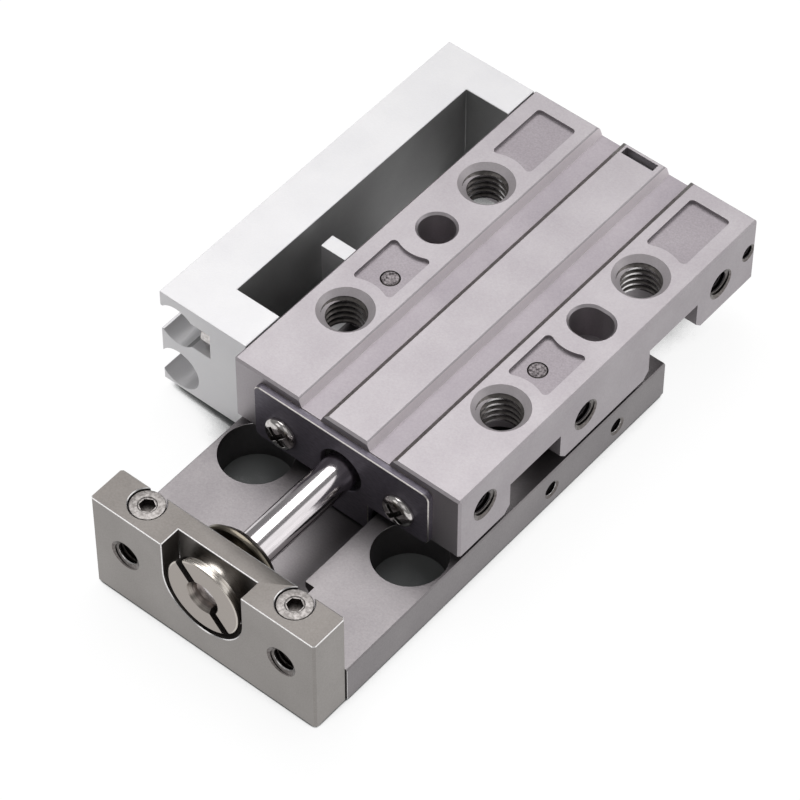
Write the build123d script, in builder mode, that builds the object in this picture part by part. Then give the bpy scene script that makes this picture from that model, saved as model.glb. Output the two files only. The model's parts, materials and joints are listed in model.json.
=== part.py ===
from build123d import *
from math import sqrt
import os

os.makedirs("parts", exist_ok=True)

# A slide table cylinder: a small air cylinder whose rod carries a ball-guided table.
# It is drawn with the rod out. All sizes are in millimetres.
# The origin is the centre of the table's underside, +X points to the side with the ports,
# +Z points up through the body, and the table moves towards +Y as the rod goes in.

# Travel and fits
stroke = 14.0
running_fit = 0.08          # radial play of a piece that slides in another
slip_fit = 0.03             # radial play of a piece pushed into another and held there
thread_fit = 0.05           # radial play drawn between a screw and its own thread
end_gap = 0.1               # left between the piston and each bumper
edge_break = 0.25           # chamfer along machined outer edges
small_sink_angle = 120      # countersink of the M3 and M2 threads, in degrees

# Table
table_width = 28.7
table_length = 50.4
table_thickness = 4.9
channel_width = 8.5
channel_floor = 2.0
table_edge_break = 0.15
front_pocket_width = 10.8
front_pocket_length = 5.6
front_pocket_depth = 1.5
access_hole_radius = 3.95
work_thread_radius = 1.25   # tap drill of an M3 thread
work_thread_depth = 3.5
work_thread_spacing_x = 20.0
work_thread_spacing_y = 40.0
side_thread_radius = 0.8    # tap drill of an M2 thread
side_thread_depth = 2.8
side_thread_sink = 1.1
side_thread_z = 2.2
side_thread_front = 31.8    # from the table's front edge
side_thread_spacing = 10.7
tongue_width = 24.0
tongue_length = 3.2
tongue_thickness = 3.0

# Cylinder body
body_setback = 16.8         # from the table's front edge to the body's front face
body_width = 29.0
body_length = 48.2
flange_height = 8.5
table_gap = 1.1
bore_radius = 4.0
axis_height = 2.9           # cylinder axis above the underside of the flanges
rib_width = 6.6
groove_inner = 2.7
groove_outer = 6.05
groove_depth = 1.0
groove_slope = 0.45         # how far each wall leans in between its edge and the floor
mount_spacing_x = 20.0
mount_spacing_y = 22.5
mount_first = 11.9          # from the body's front face
mount_thread_radius = 2.1   # tap drill of an M5 thread
mount_sink_radius = 3.05
mount_thickness = 4.6
head_room_radius = 4.0      # counterbore under each mounting thread, open to the side
head_room_chamfer = 0.8     # round the counterbore's mouth
dowel_radius = 2.0
dowel_sink = 0.25
dowel_depth = 4.5
dowel_from_front = 26.35
dowel_slot_length = 4.8
pocket_depth = 0.45
pocket_inner = 7.5
pocket_outer = 12.5
pocket_boss_radius = 4.4
pocket_rear_margin = 2.0
pocket_corner = 0.5
plug_radius = 1.05
plug_length = 1.6
plug_x = 9.5
plug_from_front = 18.3
clip_slot_width = 4.1
clip_slot_length = 1.0
clip_from_rear = 0.5

# Air ports on the right side
port_thread_radius = 1.25   # tap drill of an M3 thread
port_sink_radius = 1.8
port_thread_depth = 3.4
port_drill_radius = 0.75
port_places = [(3.95, 4.55), (19.9, 3.55), (42.3, 3.7)]   # from the front face, above the flange's underside
small_thread_radius = 0.8
small_sink_radius = 1.05
small_thread_depth = 3.0
small_thread_place = (46.95, 4.5)

# Front retainer plate and its screws
retainer_thickness = 0.8
retainer_width = 22.4
retainer_height = 7.5
retainer_corner = 0.8
retainer_hole_radius = 2.6
retainer_tongue_width = 7.0
retainer_tongue_gap = 0.3   # above the floor of the table's channel
retainer_screw_x = 7.6
pan_head_radius = 1.9
pan_head_height = 1.0
pan_head_edge_break = 0.4
pan_screw_radius = 1.0
pan_screw_length = 2.6
cross_width = 0.55
cross_span = 2.1
cross_depth = 0.6

# Ball guide
guide_side_gap = 0.8        # from the rail's side to the channel's wall
guide_floor_gap = 0.4
guide_rail_height = 1.8
ball_radius = 0.75
ball_count = 6
ball_pitch = 4.3
cage_thickness = 0.38
cage_height = 2.2
cage_length = 27.0
cage_setback = 2.0          # from the rail's front end to the cage, with the rod out
guide_pin_radius = 0.5
guide_pin_x = 2.5
guide_pin_inset = 3.2
guide_pin_hold = 1.0        # length held in the body

# End plate
end_plate_width = 28.5
end_plate_thickness = 4.6
end_plate_lift = 0.2
end_plate_height = 12.95
end_plate_edge_break = 0.25
u_slot_radius = 5.05
u_slot_depth = 2.5
plate_thread_radius = 1.25  # tap drill of an M3 thread
plate_thread_sink = 1.8
plate_thread_depth = 1.75
plate_thread_spacing = 20.0
plate_thread_below_axis = 1.55
plate_screw_spacing = 18.8
plate_screw_from_rear = 1.7
socket_head_radius = 1.75
socket_head_height = 1.9
socket_head_room = 0.22
socket_head_sunk = 0.15
plate_screw_radius = 1.0
plate_screw_end_z = 0.5     # above the table's underside
hex_socket_radius = 0.87    # to its corners
hex_socket_depth = 0.95
tongue_play = 0.1

# Piston and rod
rod_radius = 2.0
rod_neck_radius = 1.7
rod_stud_radius = 1.25
rod_end_recess = 0.9        # rod end below the nut's face
rod_flange_radius = 4.7
rod_flange_rear_radius = 3.8
rod_flange_thickness = 1.9    # with its hub
rod_flange_rim_width = 0.4
rod_flange_hub_radius = 2.8
rod_flange_hub_length = 0.6
rod_nut_radius = 4.5
rod_nut_thickness = 2.45
rod_nut_disc_thickness = 1.1
rod_nut_disc_rear_radius = 4.25
rod_nut_hub_radius = 3.2
rod_nut_edge_break = 0.1
driver_slot_width = 0.9
driver_slot_depth = 0.9
driver_slot_angle = -49.0
piston_length = 8.0
piston_land_count = 3       # equal lands in front of, between and behind the two grooves
piston_nut_across_flats = 4.5
piston_nut_thickness = 1.6
seal_width = 1.5
seal_depth = 1.3
wear_ring_width = 2.0
wear_ring_depth = 0.6
bumper_thickness = 1.0
bumper_radius = 3.5
bumper_play = 0.25

# Rod cover at the front of the bore and head plug at its rear
rod_cover_length = 8.0
rod_cover_step_length = 2.9
cover_neck_radius = 3.5
rod_seal_length = 1.6
rod_seal_radius = 2.9
ring_width = 1.2
ring_depth = 0.9
ring_from_end = 0.8
plug_step_length = 4.7
clip_bite = 0.75
clip_play = 0.05
clip_below_top = 1.0

# Sensor rail on the left side
sensor_rail_width = 11.5
sensor_rail_length = 46.1
sensor_rail_setback = 1.8   # from the body's front face
sensor_rail_height = 13.3
sensor_groove_radius = 2.6
sensor_groove_from_edge = 2.2
upper_groove_from_top = 3.8
lower_groove_from_bottom = 2.9
groove_slot_height = 3.55
groove_slot_from_edge = 5.0
seat_from_edge = 6.6
seat_length = 3.9
window_width = 5.65
window_length = 36.55
window_from_front = 5.2
table_side_step = 0.3
rail_screw_radius = 1.0
rail_screw_head_radius = 1.65
rail_screw_head_height = 1.6
rail_screw_hold = 3.5
rail_screw_inset = 2.1

# Magnet carrier on the table's left side
carrier_length = 14.5
carrier_thickness = 1.25
carrier_height = 3.9
carrier_lift = 0.6
carrier_block_length = 4.0
tab_thickness = 1.8
tab_width = 3.95
tab_top_below_body = 2.0
tab_side_gap = 0.25
tab_from_middle = 1.15      # towards the front, from the middle of the foot
magnet_radius = 0.7
magnet_length = 2.0
magnet_below_tab_top = 2.0
carrier_head_radius = 1.5
carrier_head_height = 1.0

# Places worked out from the sizes
table_front_y = -table_length / 2
table_rear_y = table_length / 2
table_side_x = table_width / 2
body_front_y = table_front_y + body_setback
body_rear_y = body_front_y + body_length
body_side_x = body_width / 2
flange_z = table_thickness + table_gap
body_top_z = flange_z + flange_height
axis_z = flange_z + axis_height
rail_half_width = channel_width / 2 - guide_side_gap
guide_rail_z = channel_floor + guide_floor_gap
rib_z = guide_rail_z + guide_rail_height
ball_x = channel_width / 2 - guide_side_gap / 2
ball_z = guide_rail_z + guide_rail_height / 2
ball_groove_radius = ball_radius + running_fit
mount_ys = [body_front_y + mount_first, body_front_y + mount_first + mount_spacing_y]
mount_x = mount_spacing_x / 2
head_room_z = body_top_z - mount_thickness
dowel_y = body_front_y + dowel_from_front
pocket_z = body_top_z - pocket_depth
plug_y = body_front_y + plug_from_front
clip_y = body_rear_y - clip_from_rear - clip_slot_length / 2
rod_cover_rear_y = body_front_y + rod_cover_length
piston_front_y = rod_cover_rear_y + bumper_thickness + end_gap
piston_rear_y = piston_front_y + piston_length
rear_bumper_y = piston_rear_y + piston_nut_thickness + stroke + end_gap
head_plug_front_y = rear_bumper_y + bumper_thickness
web_front_y = table_front_y - end_plate_thickness + u_slot_depth
nut_front_y = web_front_y - rod_nut_thickness
rod_tip_y = nut_front_y + rod_end_recess
end_plate_front_y = table_front_y - end_plate_thickness
end_plate_top_z = end_plate_lift + end_plate_height
plate_screw_y = table_front_y - plate_screw_from_rear
plate_screw_x = plate_screw_spacing / 2
socket_seat_z = end_plate_top_z - socket_head_sunk - socket_head_height
rail_front_y = body_front_y + sensor_rail_setback
rail_rear_y = rail_front_y + sensor_rail_length
rail_outer_x = -body_side_x - sensor_rail_width
rail_bottom_z = body_top_z - sensor_rail_height
upper_groove_z = body_top_z - upper_groove_from_top
lower_groove_z = rail_bottom_z + lower_groove_from_bottom
groove_x = rail_outer_x + sensor_groove_from_edge
seat_x = rail_outer_x + seat_from_edge
rail_screw_ys = [rail_front_y + rail_screw_inset, rail_rear_y - rail_screw_inset]
side_thread_ys = [table_front_y + side_thread_front, table_front_y + side_thread_front + side_thread_spacing]
carrier_y = (side_thread_ys[0] + side_thread_ys[1]) / 2
tab_y = carrier_y - tab_from_middle
tab_right_x = -body_side_x - tab_side_gap
tab_top_z = body_top_z - tab_top_below_body
magnet_z = tab_top_z - magnet_below_tab_top
cage_front_y = body_front_y + cage_setback
cage_mid_y = cage_front_y + cage_length / 2


def seen_from_front(y):
    """Sketch plane across the part at y: x to the right, z up, and holes run to the rear."""
    return Plane.XZ.offset(-y)


def right_side(x):
    """Sketch plane on a face that looks to +X: y to the right, z up."""
    return Plane.YZ.offset(x)


def left_side(x):
    """Sketch plane on a face that looks to -X: y runs to the left, z up."""
    return Plane(origin=(x, 0, 0), x_dir=(0, -1, 0), z_dir=(-1, 0, 0))


def underside(z):
    """Sketch plane on a face that looks down: x to the right."""
    return Plane(origin=(0, 0, z), x_dir=(1, 0, 0), z_dir=(0, 0, -1))


def cylinder_profile(radius_marks, inner_radius):
    """Profile in the plane x=0 of a piece turned about the cylinder axis.

    radius_marks lists (y, radius) pairs from front to rear, two at each step."""
    front_y = radius_marks[0][0]
    rear_y = radius_marks[-1][0]
    outline = [(front_y, axis_z + inner_radius)]
    outline += [(y, axis_z + radius) for y, radius in radius_marks]
    outline += [(rear_y, axis_z + inner_radius)]
    Polyline(*outline, close=True)


def plain(y_front, y_rear, radius):
    """Two marks of a straight stretch of a turned profile."""
    return [(y_front, radius), (y_rear, radius)]


cylinder_axis = Axis((0, 0, axis_z), (0, 1, 0))

# Cylinder body: an extruded bar with two flanges over the table and a rib between the rail's grooves
with BuildPart() as body:
    with BuildSketch(seen_from_front(body_front_y)):
        with Locations((0, (flange_z + body_top_z) / 2)):
            Rectangle(body_width, flange_height)
        with Locations((0, (rib_z + flange_z) / 2)):
            Rectangle(rib_width, flange_z - rib_z)
    extrude(amount=-body_length)
    chamfer(body.faces().sort_by(Axis.Z)[-1].edges(), edge_break)
    chamfer(body.edges().filter_by(Axis.Z).filter_by_position(Axis.Z, flange_z, body_top_z), edge_break)
    # Two grooves along the top, with leaning walls
    with BuildSketch(seen_from_front(body_front_y)):
        groove_z = body_top_z - groove_depth
        inner_edge = (groove_inner, body_top_z)
        outer_edge = (groove_outer, body_top_z)
        outer_foot = (groove_outer - groove_slope, groove_z)
        inner_foot = (groove_inner + groove_slope, groove_z)
        right_groove = Polygon(inner_edge, inner_foot, outer_foot, outer_edge, align=None)
        mirror(right_groove, about=Plane.YZ)
    extrude(amount=-body_length, mode=Mode.SUBTRACT)
    # Cylinder bore
    with Locations(seen_from_front(body_front_y)):
        with Locations((0, axis_z)):
            Hole(bore_radius, depth=body_length)
    # Head room under each mounting thread, open to the side
    with BuildSketch(Plane.XY.offset(flange_z)):
        for side in (-1, 1):
            for y in mount_ys:
                with Locations((side * mount_x, y)):
                    Circle(head_room_radius)
                with Locations((side * (mount_x + body_side_x) / 2, y)):
                    Rectangle(body_side_x - mount_x, 2 * head_room_radius)
    extrude(amount=head_room_z - flange_z, mode=Mode.SUBTRACT)
    with BuildSketch(Plane.XY.offset(flange_z)):
        for side in (-1, 1):
            for y in mount_ys:
                with Locations((side * mount_x, y)):
                    Circle(head_room_radius + head_room_chamfer)
                with Locations((side * (mount_x + body_side_x) / 2, y)):
                    mouth_width = 2 * (head_room_radius + head_room_chamfer)
                    Rectangle(body_side_x - mount_x + 2 * head_room_chamfer, mouth_width)
    extrude(amount=head_room_chamfer, taper=45, mode=Mode.SUBTRACT)
    # Mounting threads
    with Locations(Plane.XY.offset(body_top_z)):
        with Locations([(side * mount_x, y) for side in (-1, 1) for y in mount_ys]):
            CounterSinkHole(mount_thread_radius, mount_sink_radius, mount_thickness, 90)
    # Round dowel hole on the left, slotted one on the right
    with BuildSketch(Plane.XY.offset(body_top_z)):
        with Locations((-mount_x, dowel_y)):
            Circle(dowel_radius)
        with Locations((mount_x, dowel_y)):
            SlotOverall(dowel_slot_length, 2 * dowel_radius)
    extrude(amount=-dowel_depth, mode=Mode.SUBTRACT)
    with BuildSketch(Plane.XY.offset(body_top_z)):
        with Locations((-mount_x, dowel_y)):
            Circle(dowel_radius + dowel_sink)
        with Locations((mount_x, dowel_y)):
            SlotOverall(dowel_slot_length + 2 * dowel_sink, 2 * (dowel_radius + dowel_sink))
    extrude(amount=-dowel_sink, taper=45, mode=Mode.SUBTRACT)
    # Shallow pockets between the holes and behind the rear ones
    with BuildSketch(Plane.XY.offset(body_top_z)) as pockets:
        pocket_middle_x = (pocket_inner + pocket_outer) / 2
        pocket_rear_y = body_rear_y - pocket_rear_margin
        for side in (-1, 1):
            with Locations((side * pocket_middle_x, (mount_ys[0] + dowel_y) / 2)):
                Rectangle(pocket_outer - pocket_inner, dowel_y - mount_ys[0])
            with Locations((side * pocket_middle_x, (mount_ys[1] + pocket_rear_y) / 2)):
                Rectangle(pocket_outer - pocket_inner, pocket_rear_y - mount_ys[1])
        with Locations([(side * mount_x, y) for side in (-1, 1) for y in mount_ys + [dowel_y]]):
            Circle(pocket_boss_radius, mode=Mode.SUBTRACT)
        fillet(pockets.vertices(), pocket_corner)
    extrude(amount=-pocket_depth, mode=Mode.SUBTRACT)
    # Blind drillings for the pressed plugs
    with Locations(Plane.XY.offset(pocket_z)):
        with Locations([(-plug_x, plug_y), (plug_x, plug_y)]):
            Hole(plug_radius + slip_fit, depth=plug_length)
    # Slot for the plug's clip
    with BuildSketch(Plane.XY.offset(body_top_z)):
        with Locations((0, clip_y)):
            Rectangle(clip_slot_width, clip_slot_length)
    extrude(amount=axis_z - body_top_z, mode=Mode.SUBTRACT)
    # Air ports: the first and last lead into the bore, the middle one is blind
    with Locations(right_side(body_side_x)):
        with Locations([(body_front_y + y, flange_z + z) for y, z in port_places]):
            CounterSinkHole(port_thread_radius, port_sink_radius, port_thread_depth, small_sink_angle)
        with Locations([(body_front_y + y, flange_z + z) for y, z in port_places[::2]]):
            Hole(port_drill_radius, depth=body_side_x)
        with Locations((body_front_y + small_thread_place[0], flange_z + small_thread_place[1])):
            CounterSinkHole(small_thread_radius, small_sink_radius, small_thread_depth, small_sink_angle)
    # Screw holes for the retainer plate and the sensor rail, and pin holes for the guide rail
    with Locations(seen_from_front(body_front_y)):
        with Locations([(side * retainer_screw_x, axis_z) for side in (-1, 1)]):
            Hole(pan_screw_radius + thread_fit, depth=pan_screw_length - retainer_thickness + end_gap)
    with Locations(left_side(-body_side_x)):
        with Locations([(-y, upper_groove_z) for y in rail_screw_ys]):
            Hole(rail_screw_radius + thread_fit, depth=rail_screw_hold + end_gap)
    guide_pin_ys = [body_front_y + guide_pin_inset, body_rear_y - guide_pin_inset]
    guide_pin_places = [(side * guide_pin_x, -y) for side in (-1, 1) for y in guide_pin_ys]
    with Locations(underside(rib_z)):
        with Locations(guide_pin_places):
            Hole(guide_pin_radius + slip_fit, depth=guide_pin_hold + end_gap)
body.part.label = "body"
export_step(body.part, "parts/body.step")

# Retainer plate: a thin steel plate that holds the rod cover in and closes the table's channel
with BuildPart() as retainer_plate:
    tongue_z = channel_floor + retainer_tongue_gap
    with BuildSketch(seen_from_front(body_front_y)) as plate_outline:
        with Locations((0, flange_z + retainer_height / 2)):
            RectangleRounded(retainer_width, retainer_height, retainer_corner)
        with Locations((0, (tongue_z + axis_z) / 2)):
            Rectangle(retainer_tongue_width, axis_z - tongue_z)
        with Locations((0, axis_z)):
            Circle(retainer_hole_radius, mode=Mode.SUBTRACT)
        with Locations([(side * retainer_screw_x, axis_z) for side in (-1, 1)]):
            Circle(pan_screw_radius + thread_fit, mode=Mode.SUBTRACT)
    extrude(amount=retainer_thickness)
retainer_plate.part.label = "retainer_plate"
export_step(retainer_plate.part, "parts/retainer_plate.step")

# Two cross-recess pan-head screws
with BuildPart() as retainer_screws:
    plate_face_y = body_front_y - retainer_thickness
    screw_places = [(side * retainer_screw_x, axis_z) for side in (-1, 1)]
    with BuildSketch(seen_from_front(plate_face_y)):
        with Locations(screw_places):
            Circle(pan_screw_radius)
    extrude(amount=-pan_screw_length)
    with BuildSketch(seen_from_front(plate_face_y)):
        with Locations(screw_places):
            Circle(pan_head_radius)
    extrude(amount=pan_head_height)
    head_rims = retainer_screws.edges().filter_by(GeomType.CIRCLE).group_by(Axis.Y)[0]
    chamfer(head_rims, pan_head_edge_break)
    with BuildSketch(seen_from_front(plate_face_y - pan_head_height)):
        with Locations(screw_places):
            Rectangle(cross_span, cross_width, rotation=45)
            Rectangle(cross_span, cross_width, rotation=-45)
    extrude(amount=-cross_depth, mode=Mode.SUBTRACT)
retainer_screws.part.label = "retainer_screws"
export_step(retainer_screws.part, "parts/retainer_screws.step")

# Guide rail: a hardened bar under the rib, with a ball groove along each side
with BuildPart() as guide_rail:
    with BuildSketch(seen_from_front(body_front_y)):
        with Locations((0, ball_z)):
            Rectangle(2 * rail_half_width, guide_rail_height)
        with Locations([(side * ball_x, ball_z) for side in (-1, 1)]):
            Circle(ball_groove_radius, mode=Mode.SUBTRACT)
    extrude(amount=-body_length)
    with Locations(underside(guide_rail_z)):
        with Locations(guide_pin_places):
            Hole(guide_pin_radius + slip_fit, depth=guide_rail_height)
guide_rail.part.label = "guide_rail"
export_step(guide_rail.part, "parts/guide_rail.step")

# Four pins that hold the guide rail to the body
with BuildPart() as guide_rail_pins:
    with BuildSketch(underside(guide_rail_z)):
        with Locations(guide_pin_places):
            Circle(guide_pin_radius)
    extrude(amount=-(guide_rail_height + guide_pin_hold))
guide_rail_pins.part.label = "guide_rail_pins"
export_step(guide_rail_pins.part, "parts/guide_rail_pins.step")

# Rod cover: a turned bush that closes the front of the bore and guides the rod
with BuildPart() as rod_cover:
    cover_radius = bore_radius - slip_fit
    cover_step_y = body_front_y + rod_cover_step_length
    ring_y = body_front_y + ring_from_end
    marks = plain(body_front_y, ring_y, cover_radius)
    marks += plain(ring_y, ring_y + ring_width, cover_radius - ring_depth)
    marks += plain(ring_y + ring_width, cover_step_y, cover_radius)
    marks += plain(cover_step_y, rod_cover_rear_y, cover_neck_radius)
    with BuildSketch(Plane.YZ):
        with BuildLine():
            cylinder_profile(marks, rod_radius + running_fit)
        make_face()
    revolve(axis=cylinder_axis)
    # Seat of the rod seal
    with Locations(seen_from_front(body_front_y)):
        with Locations((0, axis_z)):
            Hole(rod_seal_radius + slip_fit, depth=rod_seal_length)
rod_cover.part.label = "rod_cover"
export_step(rod_cover.part, "parts/rod_cover.step")

# Rod seal
with BuildPart() as rod_seal:
    with BuildSketch(seen_from_front(body_front_y)):
        with Locations((0, axis_z)):
            Circle(rod_seal_radius)
            Circle(rod_radius + running_fit, mode=Mode.SUBTRACT)
    extrude(amount=-rod_seal_length)
rod_seal.part.label = "rod_seal"
export_step(rod_seal.part, "parts/rod_seal.step")

# Sealing ring round the rod cover
with BuildPart() as rod_cover_ring:
    with BuildSketch(Plane.YZ):
        with BuildLine():
            cylinder_profile(plain(ring_y, ring_y + ring_width, cover_radius), cover_radius - ring_depth)
        make_face()
    revolve(axis=cylinder_axis)
rod_cover_ring.part.label = "rod_cover_ring"
export_step(rod_cover_ring.part, "parts/rod_cover_ring.step")

# Bumper behind the rod cover
with BuildPart() as front_bumper:
    with BuildSketch(seen_from_front(rod_cover_rear_y)):
        with Locations((0, axis_z)):
            Circle(bumper_radius)
            Circle(rod_radius + bumper_play, mode=Mode.SUBTRACT)
    extrude(amount=-bumper_thickness)
front_bumper.part.label = "front_bumper"
export_step(front_bumper.part, "parts/front_bumper.step")

# Head plug: closes the rear of the bore and is locked by a clip from above
with BuildPart() as head_plug:
    plug_step_y = body_rear_y - plug_step_length
    plug_ring_y = plug_step_y + ring_from_end
    clip_front_y = clip_y - clip_slot_length / 2
    clip_rear_y = clip_y + clip_slot_length / 2
    marks = plain(head_plug_front_y, plug_step_y, cover_neck_radius)
    marks += plain(plug_step_y, plug_ring_y, cover_radius)
    marks += plain(plug_ring_y, plug_ring_y + ring_width, cover_radius - ring_depth)
    marks += plain(plug_ring_y + ring_width, clip_front_y, cover_radius)
    marks += plain(clip_front_y, clip_rear_y, cover_radius - clip_bite)
    marks += plain(clip_rear_y, body_rear_y - edge_break, cover_radius)
    with BuildSketch(Plane.YZ):
        with BuildLine():
            cylinder_profile(marks, 0)
        make_face()
    revolve(axis=cylinder_axis)
head_plug.part.label = "head_plug"
export_step(head_plug.part, "parts/head_plug.step")

# Sealing ring round the head plug
with BuildPart() as head_plug_ring:
    with BuildSketch(Plane.YZ):
        with BuildLine():
            cylinder_profile(
                plain(plug_ring_y, plug_ring_y + ring_width, cover_radius), cover_radius - ring_depth
            )
        make_face()
    revolve(axis=cylinder_axis)
head_plug_ring.part.label = "head_plug_ring"
export_step(head_plug_ring.part, "parts/head_plug_ring.step")

# Bumper in front of the head plug
with BuildPart() as rear_bumper:
    with BuildSketch(seen_from_front(rear_bumper_y)):
        with Locations((0, axis_z)):
            Circle(bumper_radius)
    extrude(amount=-bumper_thickness)
rear_bumper.part.label = "rear_bumper"
export_step(rear_bumper.part, "parts/rear_bumper.step")

# Clip: a small plate pushed down into the head plug's groove
with BuildPart() as plug_clip:
    clip_half_width = clip_slot_width / 2 - clip_play
    clip_bottom_z = axis_z + cover_radius - clip_bite + clip_play
    clip_top_z = body_top_z - clip_below_top
    with BuildSketch(Plane.XY.offset(clip_bottom_z)):
        with Locations((0, clip_y)):
            Rectangle(2 * clip_half_width, clip_slot_length - 2 * clip_play)
    extrude(amount=clip_top_z - clip_bottom_z)
plug_clip.part.label = "plug_clip"
export_step(plug_clip.part, "parts/plug_clip.step")

# Two round plugs pressed into the pockets
with BuildPart() as passage_plugs:
    with BuildSketch(Plane.XY.offset(pocket_z)):
        with Locations([(-plug_x, plug_y), (plug_x, plug_y)]):
            Circle(plug_radius)
    extrude(amount=-plug_length)
passage_plugs.part.label = "passage_plugs"
export_step(passage_plugs.part, "parts/passage_plugs.step")

# Sensor rail: an extruded bar with two sensor grooves and a window for the magnet carrier
with BuildPart() as sensor_rail:
    with BuildSketch(seen_from_front(rail_front_y)):
        with Locations(((rail_outer_x - body_side_x) / 2, (rail_bottom_z + body_top_z) / 2)):
            Rectangle(sensor_rail_width, sensor_rail_height)
        # The lower part stands clear of the moving table
        with Locations((-body_side_x - table_side_step / 2, (rail_bottom_z + flange_z) / 2)):
            Rectangle(table_side_step, flange_z - rail_bottom_z, mode=Mode.SUBTRACT)
        with Locations((groove_x, upper_groove_z), (groove_x, lower_groove_z)):
            Circle(sensor_groove_radius, mode=Mode.SUBTRACT)
        with Locations((rail_outer_x + groove_slot_from_edge / 2, upper_groove_z)):
            Rectangle(groove_slot_from_edge, groove_slot_height, mode=Mode.SUBTRACT)
    extrude(amount=-sensor_rail_length)
    # Deeper seats for the screw heads at both ends
    with BuildSketch(left_side(seat_x)):
        for y in (rail_front_y + seat_length / 2, rail_rear_y - seat_length / 2):
            with Locations((-y, upper_groove_z)):
                Rectangle(seat_length, groove_slot_height)
    extrude(amount=seat_from_edge, mode=Mode.SUBTRACT)
    with Locations(left_side(seat_x)):
        with Locations([(-y, upper_groove_z) for y in rail_screw_ys]):
            Hole(rail_screw_radius + slip_fit, depth=sensor_rail_width)
    # Window
    with BuildSketch(Plane.XY.offset(body_top_z)):
        with Locations((-body_side_x - window_width / 2, rail_front_y + window_from_front + window_length / 2)):
            Rectangle(window_width, window_length)
    extrude(amount=-sensor_rail_height, mode=Mode.SUBTRACT)
sensor_rail.part.label = "sensor_rail"
export_step(sensor_rail.part, "parts/sensor_rail.step")

# Two screws that hold the sensor rail to the body
with BuildPart() as sensor_rail_screws:
    with BuildSketch(left_side(seat_x)):
        with Locations([(-y, upper_groove_z) for y in rail_screw_ys]):
            Circle(rail_screw_radius)
    extrude(amount=-(rail_screw_hold - seat_x - body_side_x))
    with BuildSketch(left_side(seat_x)):
        with Locations([(-y, upper_groove_z) for y in rail_screw_ys]):
            Circle(rail_screw_head_radius)
    extrude(amount=rail_screw_head_height)
    with BuildSketch(left_side(seat_x - rail_screw_head_height)):
        with Locations([(-y, upper_groove_z) for y in rail_screw_ys]):
            Rectangle(cross_span, cross_width, rotation=45)
            Rectangle(cross_span, cross_width, rotation=-45)
    extrude(amount=-cross_depth, mode=Mode.SUBTRACT)
sensor_rail_screws.part.label = "sensor_rail_screws"
export_step(sensor_rail_screws.part, "parts/sensor_rail_screws.step")

# Table: a flat plate with a ball channel along its middle
with BuildPart() as table:
    with BuildSketch(Plane.XY):
        Rectangle(table_width, table_length)
    extrude(amount=table_thickness)
    chamfer(table.faces().sort_by(Axis.Z)[-1].edges().filter_by(Axis.Y), table_edge_break)
    chamfer(table.faces().sort_by(Axis.Z)[0].edges(), edge_break)
    # Tongue that the end plate sits on
    with BuildSketch(Plane.XY):
        with Locations((0, table_front_y)):
            Rectangle(tongue_width, 2 * tongue_length)
    extrude(amount=tongue_thickness)
    # Ball channel, its two grooves and the wider pocket behind the end plate
    with BuildSketch(seen_from_front(table_front_y)):
        with Locations((0, (channel_floor + table_thickness) / 2)):
            Rectangle(channel_width, table_thickness - channel_floor)
        with Locations([(side * ball_x, ball_z) for side in (-1, 1)]):
            Circle(ball_groove_radius)
    extrude(amount=-table_length, mode=Mode.SUBTRACT)
    with BuildSketch(Plane.XY.offset(table_thickness)):
        with Locations((0, table_front_y + front_pocket_length / 2)):
            Rectangle(front_pocket_width, front_pocket_length)
    extrude(amount=-front_pocket_depth, mode=Mode.SUBTRACT)
    # Holes that give a driver access to the mounting threads with the rod in
    with Locations(Plane.XY.offset(table_thickness)):
        with Locations([(side * mount_x, y - stroke) for side in (-1, 1) for y in mount_ys]):
            Hole(access_hole_radius, depth=table_thickness)
    # Work threads in the underside
    with Locations(underside(0)):
        with GridLocations(work_thread_spacing_x, work_thread_spacing_y, 2, 2):
            Hole(work_thread_radius, depth=work_thread_depth)
    # Side threads and the end plate's threads
    with Locations(right_side(table_side_x)):
        with Locations([(y, side_thread_z) for y in side_thread_ys]):
            CounterSinkHole(side_thread_radius, side_thread_sink, side_thread_depth, small_sink_angle)
    with Locations(left_side(-table_side_x)):
        with Locations([(-y, side_thread_z) for y in side_thread_ys]):
            Hole(side_thread_radius + thread_fit, depth=side_thread_depth)
    with Locations(Plane.XY.offset(tongue_thickness)):
        with Locations([(side * plate_screw_x, plate_screw_y) for side in (-1, 1)]):
            Hole(plate_screw_radius + thread_fit, depth=tongue_thickness)
table.part.label = "table"
export_step(table.part, "parts/table.step")

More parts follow.
